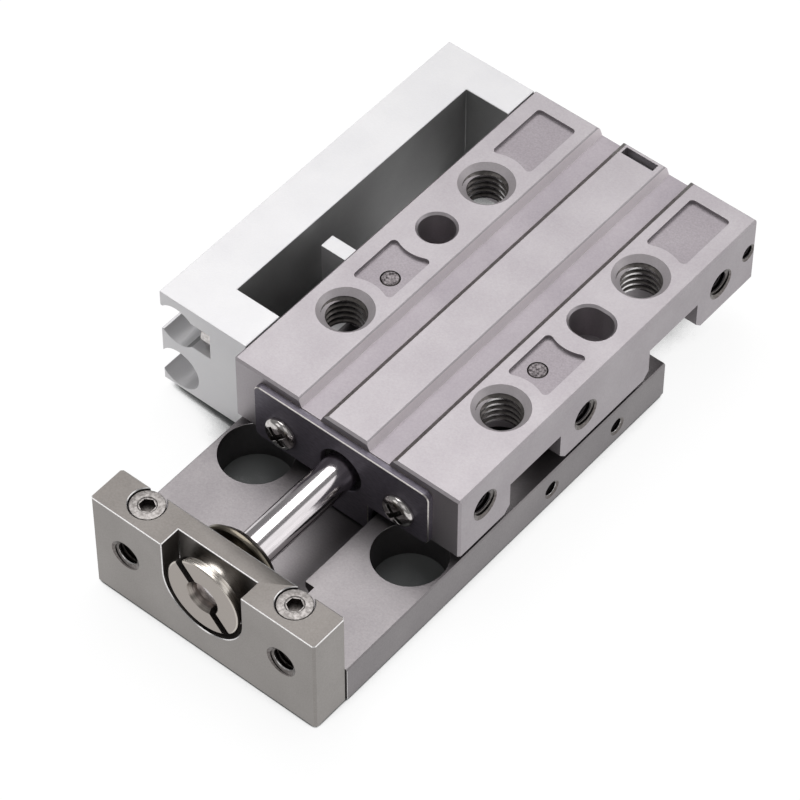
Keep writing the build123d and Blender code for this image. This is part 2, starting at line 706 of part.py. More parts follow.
# End plate: stands on the table's tongue and takes the rod end in a slot open to the top
with BuildPart() as end_plate:
    end_plate_z = end_plate_lift + end_plate_height / 2
    with BuildSketch(seen_from_front(table_front_y)):
        with Locations((0, end_plate_z)):
            Rectangle(end_plate_width, end_plate_height)
    extrude(amount=end_plate_thickness)
    chamfer(end_plate.edges().filter_by(Axis.Z), end_plate_edge_break)
    # Slot for the rod end's nut
    with BuildSketch(seen_from_front(end_plate_front_y)):
        with Locations((0, axis_z)):
            Circle(u_slot_radius)
        with Locations((0, (axis_z + end_plate_top_z) / 2)):
            Rectangle(2 * u_slot_radius, end_plate_top_z - axis_z)
    extrude(amount=-u_slot_depth, mode=Mode.SUBTRACT)
    with Locations(seen_from_front(web_front_y)):
        with Locations((0, axis_z)):
            Hole(rod_neck_radius + running_fit, depth=end_plate_thickness)
    # Room for the table's tongue
    with BuildSketch(Plane.XY.offset(end_plate_lift)):
        with Locations((0, table_front_y)):
            Rectangle(tongue_width + 2 * tongue_play, 2 * (tongue_length + tongue_play))
    extrude(amount=tongue_thickness - end_plate_lift, mode=Mode.SUBTRACT)
    # Threads in the front face
    with Locations(seen_from_front(end_plate_front_y)):
        with Locations([(side * plate_thread_spacing / 2, axis_z - plate_thread_below_axis) for side in (-1, 1)]):
            CounterSinkHole(plate_thread_radius, plate_thread_sink, plate_thread_depth, small_sink_angle)
    # Vertical screws, their head room open to the rear
    with BuildSketch(Plane.XY.offset(end_plate_top_z)):
        for side in (-1, 1):
            with Locations((side * plate_screw_x, plate_screw_y)):
                Circle(socket_head_radius + socket_head_room)
    extrude(amount=socket_seat_z - end_plate_top_z, mode=Mode.SUBTRACT)
    with Locations(Plane.XY.offset(socket_seat_z)):
        with Locations([(side * plate_screw_x, plate_screw_y) for side in (-1, 1)]):
            Hole(plate_screw_radius + thread_fit, depth=end_plate_height)
end_plate.part.label = "end_plate"
export_step(end_plate.part, "parts/end_plate.step")

# Two socket-head screws that hold the end plate down on the tongue
with BuildPart() as end_plate_screws:
    screw_places = [(side * plate_screw_x, plate_screw_y) for side in (-1, 1)]
    with BuildSketch(Plane.XY.offset(socket_seat_z)):
        with Locations(screw_places):
            Circle(plate_screw_radius)
    extrude(amount=plate_screw_end_z - socket_seat_z)
    with BuildSketch(Plane.XY.offset(socket_seat_z)):
        with Locations(screw_places):
            Circle(socket_head_radius)
    extrude(amount=socket_head_height)
    with BuildSketch(Plane.XY.offset(socket_seat_z + socket_head_height)):
        with Locations(screw_places):
            RegularPolygon(hex_socket_radius, 6)
    extrude(amount=-hex_socket_depth, mode=Mode.SUBTRACT)
end_plate_screws.part.label = "end_plate_screws"
export_step(end_plate_screws.part, "parts/end_plate_screws.step")

# Piston rod: neck for the end plate, ground rod and a stud for the piston
with BuildPart() as piston_rod:
    stud_end_y = piston_rear_y + piston_nut_thickness
    marks = plain(rod_tip_y, table_front_y + rod_flange_thickness, rod_neck_radius)
    marks += plain(table_front_y + rod_flange_thickness, piston_front_y, rod_radius)
    marks += plain(piston_front_y, stud_end_y, rod_stud_radius)
    with BuildSketch(Plane.YZ):
        with BuildLine():
            cylinder_profile(marks, 0)
        make_face()
    revolve(axis=cylinder_axis)
piston_rod.part.label = "piston_rod"
export_step(piston_rod.part, "parts/piston_rod.step")

# Rod flange: a turned disc behind the end plate, on a hub that bears on the plate
with BuildPart() as rod_flange:
    rim_front_y = table_front_y + rod_flange_hub_length
    marks = plain(table_front_y, rim_front_y, rod_flange_hub_radius)
    marks += plain(rim_front_y, rim_front_y + rod_flange_rim_width, rod_flange_radius)
    marks += [(table_front_y + rod_flange_thickness, rod_flange_rear_radius)]
    with BuildSketch(Plane.YZ):
        with BuildLine():
            cylinder_profile(marks, rod_neck_radius + slip_fit)
        make_face()
    revolve(axis=cylinder_axis)
rod_flange.part.label = "rod_flange"
export_step(rod_flange.part, "parts/rod_flange.step")

# Rod end nut: a slotted disc on a smaller hub, which clamps the rod to the end plate
with BuildPart() as rod_end_nut:
    disc_rear_y = nut_front_y + rod_nut_disc_thickness
    marks = [(nut_front_y, rod_nut_radius - rod_nut_edge_break)]
    marks += [(nut_front_y + rod_nut_edge_break, rod_nut_radius), (disc_rear_y, rod_nut_disc_rear_radius)]
    marks += plain(disc_rear_y, web_front_y, rod_nut_hub_radius)
    with BuildSketch(Plane.YZ):
        with BuildLine():
            cylinder_profile(marks, rod_neck_radius + thread_fit)
        make_face()
    revolve(axis=cylinder_axis)
    with BuildSketch(seen_from_front(nut_front_y)):
        with Locations((0, axis_z)):
            Rectangle(2 * rod_nut_radius + driver_slot_width, driver_slot_width, rotation=driver_slot_angle)
    extrude(amount=-driver_slot_depth, mode=Mode.SUBTRACT)
rod_end_nut.part.label = "rod_end_nut"
export_step(rod_end_nut.part, "parts/rod_end_nut.step")

# Piston with a groove for its seal and one for its wear ring
with BuildPart() as piston:
    piston_radius = bore_radius - running_fit - slip_fit
    groove_margin = (piston_length - seal_width - wear_ring_width) / piston_land_count
    seal_y = piston_front_y + groove_margin
    wear_y = seal_y + seal_width + groove_margin
    marks = plain(piston_front_y, seal_y, piston_radius)
    marks += plain(seal_y, seal_y + seal_width, piston_radius - seal_depth)
    marks += plain(seal_y + seal_width, wear_y, piston_radius)
    marks += plain(wear_y, wear_y + wear_ring_width, piston_radius - wear_ring_depth)
    marks += plain(wear_y + wear_ring_width, piston_rear_y, piston_radius)
    with BuildSketch(Plane.YZ):
        with BuildLine():
            cylinder_profile(marks, rod_stud_radius + thread_fit)
        make_face()
    revolve(axis=cylinder_axis)
piston.part.label = "piston"
export_step(piston.part, "parts/piston.step")

# Piston seal
with BuildPart() as piston_seal:
    with BuildSketch(Plane.YZ):
        with BuildLine():
            cylinder_profile(
                plain(seal_y, seal_y + seal_width, bore_radius - running_fit), piston_radius - seal_depth
            )
        make_face()
    revolve(axis=cylinder_axis)
piston_seal.part.label = "piston_seal"
export_step(piston_seal.part, "parts/piston_seal.step")

# Piston wear ring
with BuildPart() as piston_wear_ring:
    with BuildSketch(Plane.YZ):
        with BuildLine():
            cylinder_profile(
                plain(wear_y, wear_y + wear_ring_width, bore_radius - running_fit),
                piston_radius - wear_ring_depth,
            )
        make_face()
    revolve(axis=cylinder_axis)
piston_wear_ring.part.label = "piston_wear_ring"
export_step(piston_wear_ring.part, "parts/piston_wear_ring.step")

# Hexagon nut that holds the piston on the rod
with BuildPart() as piston_nut:
    with BuildSketch(seen_from_front(piston_rear_y)):
        with Locations((0, axis_z)):
            RegularPolygon(piston_nut_across_flats / sqrt(3), 6)
            Circle(rod_stud_radius + thread_fit, mode=Mode.SUBTRACT)
    extrude(amount=-piston_nut_thickness)
piston_nut.part.label = "piston_nut"
export_step(piston_nut.part, "parts/piston_nut.step")

# Magnet carrier: a foot on the table's side with a tab that rises in the sensor rail's window
with BuildPart() as magnet_carrier:
    foot_z = carrier_lift + carrier_height / 2
    foot_x = -table_side_x - carrier_thickness / 2
    tab_x = tab_right_x - tab_width / 2
    with BuildSketch(Plane.XY.offset(carrier_lift)):
        with Locations((foot_x, carrier_y)):
            Rectangle(carrier_thickness, carrier_length)
        with Locations(((tab_right_x - tab_width - table_side_x) / 2, tab_y)):
            Rectangle(tab_width - table_side_x - tab_right_x, carrier_block_length)
    extrude(amount=carrier_height)
    with BuildSketch(Plane.XY.offset(carrier_lift)):
        with Locations((tab_x, tab_y)):
            Rectangle(tab_width, tab_thickness)
    extrude(amount=tab_top_z - carrier_lift)
    with Locations(left_side(tab_right_x - tab_width)):
        with Locations((-tab_y, magnet_z)):
            Hole(magnet_radius + slip_fit, depth=magnet_length)
    with Locations(left_side(-table_side_x - carrier_thickness)):
        with Locations([(-y, side_thread_z) for y in side_thread_ys]):
            Hole(side_thread_radius + thread_fit, depth=carrier_thickness)
magnet_carrier.part.label = "magnet_carrier"
export_step(magnet_carrier.part, "parts/magnet_carrier.step")

# Two screws that hold the magnet carrier to the table
with BuildPart() as magnet_carrier_screws:
    carrier_face_x = -table_side_x - carrier_thickness
    with BuildSketch(left_side(carrier_face_x)):
        with Locations([(-y, side_thread_z) for y in side_thread_ys]):
            Circle(side_thread_radius)
    extrude(amount=-(carrier_thickness + side_thread_depth - end_gap))
    with BuildSketch(left_side(carrier_face_x)):
        with Locations([(-y, side_thread_z) for y in side_thread_ys]):
            Circle(carrier_head_radius)
    extrude(amount=carrier_head_height)
magnet_carrier_screws.part.label = "magnet_carrier_screws"
export_step(magnet_carrier_screws.part, "parts/magnet_carrier_screws.step")

# Magnet that the sensors read
with BuildPart() as sensor_magnet:
    with BuildSketch(left_side(tab_right_x - tab_width)):
        with Locations((-tab_y, magnet_z)):
            Circle(magnet_radius)
    extrude(amount=-magnet_length)
sensor_magnet.part.label = "sensor_magnet"
export_step(sensor_magnet.part, "parts/sensor_magnet.step")

# Ball cages: a thin strip on each side of the guide rail, and the balls it carries
ball_ys = [cage_mid_y + (i - (ball_count - 1) / 2) * ball_pitch for i in range(ball_count)]
for name, side in (("left", -1), ("right", 1)):
    with BuildPart() as ball_cage:
        with BuildSketch(right_side(side * ball_x)):
            with Locations((cage_mid_y, ball_z)):
                Rectangle(cage_length, cage_height)
            with Locations([(y, ball_z) for y in ball_ys]):
                Circle(ball_radius + thread_fit, mode=Mode.SUBTRACT)
        extrude(amount=cage_thickness / 2, both=True)
    ball_cage.part.label = name + "_ball_cage"
    export_step(ball_cage.part, "parts/" + name + "_ball_cage.step")

    with BuildPart() as balls:
        with Locations([(side * ball_x, y, ball_z) for y in ball_ys]):
            Sphere(ball_radius)
    balls.part.label = name + "_balls"
    export_step(balls.part, "parts/" + name + "_balls.step")
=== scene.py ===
# %% [markdown]
# # A slide table cylinder, dressed for its photograph
# The real object is a small air cylinder made of blasted and anodised aluminium, with a hard-chromed
# rod that carries a table on balls. The measured solids come in first and stay where they are. Each
# one that shows is then copied, its edges are broken as a deburring wheel breaks them, its threads
# are cut, and it gets the finish of the real piece, with some faces painted lighter or darker as
# painted light and shade.

import json
from math import cos, pi, radians, sin, tan

import bpy
from mathutils import Matrix, Vector


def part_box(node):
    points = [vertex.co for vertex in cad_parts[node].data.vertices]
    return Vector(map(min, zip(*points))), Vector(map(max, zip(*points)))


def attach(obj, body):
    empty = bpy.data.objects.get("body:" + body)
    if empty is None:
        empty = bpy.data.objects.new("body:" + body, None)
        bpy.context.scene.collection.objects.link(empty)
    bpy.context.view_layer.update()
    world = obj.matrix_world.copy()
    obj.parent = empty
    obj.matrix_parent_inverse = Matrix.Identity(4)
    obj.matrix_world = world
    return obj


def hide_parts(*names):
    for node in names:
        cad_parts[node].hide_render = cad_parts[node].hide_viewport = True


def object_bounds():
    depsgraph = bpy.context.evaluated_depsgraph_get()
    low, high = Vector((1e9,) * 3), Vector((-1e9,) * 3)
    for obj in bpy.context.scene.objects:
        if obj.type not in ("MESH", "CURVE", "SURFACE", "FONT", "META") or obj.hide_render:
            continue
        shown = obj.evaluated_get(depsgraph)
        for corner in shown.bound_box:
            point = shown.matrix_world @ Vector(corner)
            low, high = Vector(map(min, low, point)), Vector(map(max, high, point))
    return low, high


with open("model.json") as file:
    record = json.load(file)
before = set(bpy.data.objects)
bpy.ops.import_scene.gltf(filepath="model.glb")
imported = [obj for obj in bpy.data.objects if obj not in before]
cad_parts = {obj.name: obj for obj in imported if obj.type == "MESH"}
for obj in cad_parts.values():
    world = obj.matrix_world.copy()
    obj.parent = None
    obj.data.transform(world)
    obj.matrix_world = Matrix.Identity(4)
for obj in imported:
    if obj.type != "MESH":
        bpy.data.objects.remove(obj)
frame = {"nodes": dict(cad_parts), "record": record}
cad_low, cad_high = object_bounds()
MM = 0.001
print("solids:", len(frame["nodes"]),
      "box in mm:", [round((h - l) / MM, 2) for l, h in zip(cad_low, cad_high)])

# %% [markdown]
# ## The camera
# The photograph is a product shot from the front right, looking down by about 50 degrees through a
# long lens, so parallel edges stay nearly parallel. The camera is placed by its angles and distance
# from one corner-like point of the object, the middle of the body's front top edge, so that every
# number here can be read off a tripod.

# %% Place the camera
CAMERA_AZIMUTH = 39.574
CAMERA_ELEVATION = 50.058
CAMERA_ROLL = -0.176
CAMERA_DISTANCE = 392.6
CAMERA_RIGHT = -5.362
CAMERA_UP = -2.874
LENS_MM = 180.9
SENSOR_MM = 36.0

body_low, body_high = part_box("body")
top_mm = body_high.z / MM
aim = Vector((0, body_low.y, body_high.z))
azimuth, elevation = radians(CAMERA_AZIMUTH), radians(CAMERA_ELEVATION)
back = Vector((sin(azimuth) * cos(elevation), -cos(azimuth) * cos(elevation), sin(elevation)))
right = Vector((cos(azimuth), sin(azimuth), 0))
up = back.cross(right)
spin = Matrix.Rotation(radians(-CAMERA_ROLL), 3, back)
right, up = spin @ right, spin @ up

camera_data = bpy.data.cameras.new("studio_camera")
camera_data.lens = LENS_MM
camera_data.sensor_width = SENSOR_MM
camera_data.clip_start = 0.02
camera_data.clip_end = 20.0
camera = bpy.data.objects.new("studio_camera", camera_data)
bpy.context.scene.collection.objects.link(camera)
place = aim + (right * -CAMERA_RIGHT + up * -CAMERA_UP + back * CAMERA_DISTANCE) * MM
camera.matrix_world = Matrix.Translation(place) @ Matrix((right, up, back)).transposed().to_4x4()
bpy.context.scene.camera = camera
print("camera at", [round(c / MM, 1) for c in place], "mm")

# %% [markdown]
# ## Small helpers
# Colours are written as the sRGB hex values that a colour picker shows, and Blender wants linear
# light, so one function converts them. Another adds a shader node with its settings and links, which
# keeps each finish short enough to read as a recipe. The last two start a finish from its shader and
# feed one of the shader's inputs.

# %% Colour and node helpers
def linear(hex_colour):
    """An sRGB hex colour as linear RGBA."""
    channels = [int(hex_colour[i:i + 2], 16) / 255 for i in (1, 3, 5)]
    return [c / 12.92 if c <= 0.04045 else ((c + 0.055) / 1.055) ** 2.4 for c in channels] + [1.0]


def add_node(material, kind, settings=None, links=()):
    """Adds a node: settings are inputs or attributes by name, links are (input, node, output)."""
    tree = material.node_tree
    made = tree.nodes.new(kind)
    for name, value in (settings or {}).items():
        if name in made.inputs:
            made.inputs[name].default_value = value
        else:
            setattr(made, name, value)
    for name, other, output in links:
        tree.links.new(other.outputs[output], made.inputs[name])
    return made


def new_finish(name, settings):
    """A material with one Principled shader, which it returns together with the material."""
    material = bpy.data.materials.new(name)
    material.use_nodes = True
    material.node_tree.nodes.clear()
    shader = add_node(material, "ShaderNodeBsdfPrincipled", settings)
    add_node(material, "ShaderNodeOutputMaterial", {}, [("Surface", shader, "BSDF")])
    return material, shader


def connect(material, shader, name, other, output):
    """Feeds one input of a shader."""
    material.node_tree.links.new(other.outputs[output], shader.inputs[name])


# %% [markdown]
# ## Blasted and anodised aluminium
# The body, table and end plate are milled from bar, blasted with fine beads and clear anodised. That
# gives a soft grey with a faint violet cast, a broad dull highlight and a grain that only shows close
# up. Two noises make it: one of about 0.2 mm for the grain in colour and height, and a slow one of
# several millimetres for the uneven tone that blasting leaves. The real grit is finer than a pixel,
# so it is drawn a little coarser here to show at all.

# %% Make the blasted finish
GRIT_MM = 0.2
CLOUD_MM = 7.0


def blasted_aluminium(name, light, dark, roughness=0.42, metallic=1.0, grain=0.4):
    """Grey metal with a fine grain between two colours and a slightly uneven sheen."""
    material, shader = new_finish(name, {"Metallic": metallic, "Roughness": roughness})
    place = add_node(material, "ShaderNodeTexCoord")
    grit = add_node(material, "ShaderNodeTexNoise", {"Scale": 1 / (GRIT_MM * MM), "Detail": 2.0},
                    [("Vector", place, "Object")])
    cloud = add_node(material, "ShaderNodeTexNoise", {"Scale": 1 / (CLOUD_MM * MM), "Detail": 3.0},
                     [("Vector", place, "Object")])
    blend = add_node(material, "ShaderNodeMix", {"data_type": "FLOAT", "Factor": grain},
                     [("A", cloud, "Fac"), ("B", grit, "Fac")])
    tone = add_node(material, "ShaderNodeValToRGB", {}, [("Fac", blend, "Result")])
    tone.color_ramp.elements[0].position = 0.32
    tone.color_ramp.elements[0].color = linear(dark)
    tone.color_ramp.elements[1].position = 0.68
    tone.color_ramp.elements[1].color = linear(light)
    connect(material, shader, "Base Color", tone, "Color")
    bump = add_node(material, "ShaderNodeBump", {"Strength": 0.3, "Distance": 0.03 * MM},
                    [("Height", grit, "Fac")])
    connect(material, shader, "Normal", bump, "Normal")
    return material


# The body is the palest piece. Its sheen is broad, and the oxide layer scatters a little light.
body_finish = blasted_aluminium("blasted_anodised_aluminium_body", "#ada8ab", "#9e989c",
                                roughness=0.48, metallic=0.85)
# The pocket floors are a tone darker than the top, with a coarser grain.
pocket_finish = blasted_aluminium("blasted_milled_pocket_floor", "#9d979b", "#8b8489",
                                  roughness=0.5, metallic=0.85, grain=0.6)
# The groove floors are a touch darker and duller than the top. The groove walls that look right are
# painted far lighter than the top, painted light.
groove_finish = blasted_aluminium("anodised_groove_floor", "#aca5aa", "#9b949a", roughness=0.55, metallic=0.7)
painted_light_wall_finish = blasted_aluminium("groove_wall_painted_light", "#e2dade", "#d4ccd0", roughness=0.6, metallic=0.25)
# The cone at the mouth of each large thread is painted lighter and duller than the top, painted light.
painted_light_mouth_finish = blasted_aluminium("thread_mouth_painted_light", "#b8b2b5", "#a8a2a5", roughness=0.5, metallic=0.45)
# The table and the end plate are darker than the body, the plate a little browner.
table_finish = blasted_aluminium("blasted_anodised_aluminium_table", "#888485", "#777375")
plate_finish = blasted_aluminium("blasted_anodised_aluminium_plate", "#989491", "#888481")
# The end plate's top is painted darker than its front, a painted shade.
painted_shade_plate_top_finish = blasted_aluminium("plate_top_painted_shade", "#75716e", "#66625f")
# The rail is extruded and dyed almost white, with a satin sheen. Inside its window it is in shade.
rail_finish = blasted_aluminium("satin_anodised_extruded_aluminium", "#d6d5d6", "#cecdcf",
                                roughness=0.45, metallic=0.5, grain=0.2)
window_finish = blasted_aluminium("shaded_window_wall", "#9a9a9a", "#8a8a8a",
                                  roughness=0.5, metallic=0.6, grain=0.2)
print("finishes:", len(bpy.data.materials))

# %% [markdown]
# ## Steel, chrome, brass and rubber
# The rod is ground, hard chromed and polished, so it mirrors the studio. The nut and flange are
# turned, and turning leaves fine rings round the axis. The plate that holds the rod cover is thin
# rolled steel with a dark finish, and its bevelled edges are painted light, a painted highlight. The
# flanks of the threads are painted dark, a painted shade in the hole. The inner pieces hardly show,
# but each has the finish of its kind. The size after the roughness is that of the marks in millimetres.

# %% Make the metal and rubber finishes
def ground_metal(name, light, dark, roughness, scratch_mm=0.12, stretch=(1, 1, 1), metallic=1.0,
                 relief=0.15):
    """Metal whose fine marks run one way: the noise is stretched along that way."""
    material, shader = new_finish(name, {"Metallic": metallic, "Roughness": roughness})
    place = add_node(material, "ShaderNodeTexCoord")
    mapping = add_node(material, "ShaderNodeMapping", {"Scale": stretch}, [("Vector", place, "Object")])
    marks = add_node(material, "ShaderNodeTexNoise", {"Scale": 1 / (scratch_mm * MM), "Detail": 3.0},
                     [("Vector", mapping, "Vector")])
    tone = add_node(material, "ShaderNodeValToRGB", {}, [("Fac", marks, "Fac")])
    tone.color_ramp.elements[0].position = 0.35
    tone.color_ramp.elements[0].color = linear(dark)
    tone.color_ramp.elements[1].position = 0.65
    tone.color_ramp.elements[1].color = linear(light)
    connect(material, shader, "Base Color", tone, "Color")
    bump = add_node(material, "ShaderNodeBump", {"Strength": relief, "Distance": 0.01 * MM},
                    [("Height", marks, "Fac")])
    connect(material, shader, "Normal", bump, "Normal")
    return material


def turned_metal(name, light, dark, roughness, axis_z, ring_mm=0.25):
    """Metal turned on a lathe: rings round an axis that runs front to back at height axis_z."""
    material, shader = new_finish(name, {"Metallic": 1.0, "Roughness": roughness})
    place = add_node(material, "ShaderNodeTexCoord")
    centred = add_node(material, "ShaderNodeMapping", {"Location": (0, 0, -axis_z)},
                       [("Vector", place, "Object")])
    rings = add_node(material, "ShaderNodeTexWave",
                     {"wave_type": "RINGS", "rings_direction": "Y", "Scale": 0.314 / (ring_mm * MM),
                      "Distortion": 0.6, "Detail": 2.0},
                     [("Vector", centred, "Vector")])
    tone = add_node(material, "ShaderNodeValToRGB", {}, [("Fac", rings, "Fac")])
    tone.color_ramp.elements[0].color = linear(dark)
    tone.color_ramp.elements[1].color = linear(light)
    connect(material, shader, "Base Color", tone, "Color")
    bump = add_node(material, "ShaderNodeBump", {"Strength": 0.2, "Distance": 0.01 * MM},
                    [("Height", rings, "Fac")])
    connect(material, shader, "Normal", bump, "Normal")
    return material


def rubber(name, colour, bloom_colour="#3a3a3a", roughness=0.7):
    """Moulded rubber or plastic with a faint bloom."""
    material, shader = new_finish(name, {"Roughness": roughness})
    place = add_node(material, "ShaderNodeTexCoord")
    bloom = add_node(material, "ShaderNodeTexNoise", {"Scale": 1 / (0.8 * MM), "Detail": 4.0},
                     [("Vector", place, "Object")])
    tone = add_node(material, "ShaderNodeValToRGB", {}, [("Fac", bloom, "Fac")])
    tone.color_ramp.elements[0].color = linear(colour)
    tone.color_ramp.elements[1].color = linear(bloom_colour)
    connect(material, shader, "Base Color", tone, "Color")
    return material


rod_low, rod_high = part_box("piston_rod")
axis_z = (rod_low.z + rod_high.z) / 2
axis_mm = axis_z / MM
ALONG_Y, ALONG_X = (1, 0.1, 1), (0.3, 1, 1)
# The rod mirrors the soft boxes, with hardly a mark on it.
chrome_finish = ground_metal("hard_chromed_polished_steel", "#d9d4d6", "#cfcacc", 0.13, 0.3, ALONG_Y,
                             relief=0.02)
# Nut and flange: fine rings that fan the light out. The nut's rim is painted lighter than its face,
# a painted highlight.
turned_finish = turned_metal("turned_nut_steel", "#a49d97", "#948d87", 0.3, axis_z, 0.12)
painted_highlight_rim_finish = turned_metal("turned_rim_painted_highlight", "#cbc5be", "#aba49c", 0.27, axis_z, 0.12)
flange_finish = turned_metal("dark_turned_steel", "#8c867a", "#6c665c", 0.28, axis_z, 0.12)
brass_finish = turned_metal("turned_brass", "#d3b268", "#b8954e", 0.3, axis_z)
# Cut edges and threads of the aluminium pieces, from bright to dark: the bevels and crests are painted
# lighter, a painted highlight, and the land slants, countersinks and thread flanks darker, a painted shade.
painted_highlight_edge_finish = ground_metal("deburred_edge_painted_highlight", "#e6e4e4", "#d2d0d0", 0.25, 0.15)
painted_shade_land_edge_finish = ground_metal("land_edge_painted_shade", "#938e8c", "#777270", 0.3, 0.3, relief=0.05)
painted_shade_countersink_finish = ground_metal("countersink_painted_shade", "#76716f", "#5c5755", 0.3, 0.3, relief=0.05)
painted_shade_thread_finish = ground_metal("tapped_thread_painted_shade", "#716d6b", "#595553", 0.3, 0.5,
                             relief=0.03)
# The cover plate is blackened, so half of its sheen is that of the oxide and not of the metal.
dark_finish = ground_metal("blackened_rolled_steel", "#6b6670", "#5b5660", 0.45, 0.2, ALONG_X, 0.55,
                           relief=0.05)
# The plate's bevelled edges are painted light, a painted highlight.
painted_highlight_plate_edge_finish = ground_metal("steel_plate_edge_painted_highlight", "#d6d2ce", "#b9b4b0", 0.3, 0.1)
# Screws: the small ones are plated and glossy, the socket heads dull and scuffed.
screw_finish = ground_metal("nickel_plated_screw_steel", "#d2cecc", "#b4b0ae", 0.16, 0.3, relief=0.05)
scuffed_finish = ground_metal("scuffed_socket_screw_steel", "#989492", "#6f6b69", 0.42, 0.3)
# Tool recesses and the plugs' rims are painted dark, a painted shade.
painted_shade_recess_finish = ground_metal("tool_recess_painted_shade", "#6a6664", "#484442", 0.45, 0.2)
# The plugs' pressed faces are mottled, in patches of a quarter of a millimetre.
plug_finish = ground_metal("pressed_steel_plug_face", "#857f81", "#322e30", 0.45, 0.24)
# The ball guide: ground rail, rolled cages and polished balls.
hard_finish = ground_metal("ground_hardened_steel", "#bdbdc0", "#a5a5a9", 0.22, 0.15, ALONG_Y)
cage_finish = ground_metal("rolled_strip_steel", "#a8a8aa", "#8f8f92", 0.35, 0.2, ALONG_Y)
ball_finish = ground_metal("polished_bearing_steel", "#dcdcde", "#cfcfd2", 0.06, 0.2)
# Seals are matt black, and the wear ring is a cream bearing plastic.
rubber_finish = rubber("moulded_nitrile_rubber", "#1c1c1c")
plastic_finish = rubber("moulded_bearing_plastic", "#c9c2ae", "#b5ae9a", 0.5)

# %% [markdown]
# ## Give every solid its finish
# A solid whose shape is right keeps its mesh and only gets a finish. The ones that are dressed below
# get theirs again on the dressed copy.

# %% Assign the finishes
finishes = {
    "body": body_finish, "table": table_finish, "end_plate": plate_finish, "sensor_rail": rail_finish,
    "magnet_carrier": rail_finish, "passage_plugs": plug_finish, "head_plug": table_finish,
    "piston": table_finish, "retainer_plate": dark_finish, "retainer_screws": screw_finish,
    "sensor_rail_screws": screw_finish, "magnet_carrier_screws": screw_finish,
    "end_plate_screws": scuffed_finish, "piston_rod": chrome_finish, "rod_flange": flange_finish,
    "rod_end_nut": turned_finish, "guide_rail": hard_finish, "guide_rail_pins": hard_finish,
    "plug_clip": hard_finish, "piston_nut": hard_finish, "sensor_magnet": hard_finish,
    "left_ball_cage": cage_finish, "right_ball_cage": cage_finish, "left_balls": ball_finish,
    "right_balls": ball_finish, "rod_cover": brass_finish, "rod_seal": rubber_finish,
    "rod_cover_ring": rubber_finish, "head_plug_ring": rubber_finish, "front_bumper": rubber_finish,
    "rear_bumper": rubber_finish, "piston_seal": rubber_finish, "piston_wear_ring": plastic_finish,
}
for name, finish in finishes.items():
    solid = frame["nodes"][name]
    solid.data.materials.clear()
    solid.data.materials.append(finish)
print("solids with a finish:", len(finishes))

# %% [markdown]
# ## Break the edges
# No machined edge is perfectly sharp. After milling, the edges of the body, table and plates are
# deburred, which leaves a narrow flat that catches the light as a thin bright line. The solid is
# copied, its loose triangles are merged and the flat ones joined, and a bevel of a few hundredths of
# a millimetre runs along every right-angled edge. The bevel gets its own, shinier finish, and is also
# painted lighter than the faces, a painted highlight. Some faces are found by their place and the way
# they face, and painted with finishes of their own: the pocket and groove floors a tone darker, the
# groove walls that look right lighter as painted light, the end plate's top and the window's walls
# darker as painted shade.

# %% Copy a solid and break its edges
def pick(piece):
    """Makes one object the only selected one."""
    bpy.ops.object.select_all(action="DESELECT")
    piece.select_set(True)
    bpy.context.view_layer.objects.active = piece


def dressed(node, name, body, finish, edge_finish, edge_mm):
    """A copy of a solid with narrow bevels along its sharp edges, standing in for the solid.

    Its finishes are 0 for the faces, 1 for the bevels and 2 for the threads."""
    mesh = frame["nodes"][node].data.copy()
    mesh.name = name
    piece = bpy.data.objects.new(name, mesh)
    bpy.context.scene.collection.objects.link(piece)
    mesh.materials.clear()
    mesh.materials.append(finish)
    mesh.materials.append(edge_finish)
    mesh.materials.append(painted_shade_thread_finish)
    pick(piece)
    bpy.ops.mesh.customdata_custom_splitnormals_clear()
    bpy.ops.object.mode_set(mode="EDIT")
    bpy.ops.mesh.select_all(action="SELECT")
    bpy.ops.mesh.remove_doubles(threshold=0.0005 * MM)
    bpy.ops.mesh.dissolve_limited(angle_limit=radians(0.5))
    bpy.ops.object.mode_set(mode="OBJECT")
    bevel = piece.modifiers.new("broken_edges", "BEVEL")
    bevel.width = edge_mm * MM
    bevel.segments = 1
    bevel.limit_method = "ANGLE"
    bevel.angle_limit = radians(55)
    bevel.material = 1
    bevel.use_clamp_overlap = True
    bpy.ops.object.modifier_apply(modifier=bevel.name)
    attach(piece, body)
    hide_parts(node)
    return piece


def smooth(piece, degrees=25):
    """Smooth shading on curved faces, and flat across real edges."""
    pick(piece)
    bpy.ops.object.shade_smooth_by_angle(angle=radians(degrees))
    print(piece.name, "faces:", len(piece.data.polygons))


def slot_of(piece, finish):
    """The number of a finish among a piece's finishes. It is added to them if it is new there."""
    names = [material.name for material in piece.data.materials]
    if finish.name not in names:
        piece.data.materials.append(finish)
        names.append(finish.name)
    return names.index(finish.name)


def paint(piece, finish, chosen, over=None):
    """Gives a finish to the faces for which chosen(centre in mm, normal) is true.

    With over, only those that have that finish so far."""
    slot = slot_of(piece, finish)
    faces = [face for face in piece.data.polygons
             if (over is None or face.material_index == slot_of(piece, over))
             and chosen(face.center / MM, face.normal)]
    for face in faces:
        face.material_index = slot
    print(piece.name, finish.name, "faces:", len(faces))


def off_axis(centre):
    """How far a place is from the rod's axis, in millimetres."""
    return Vector((centre.x, centre.z - axis_mm)).length


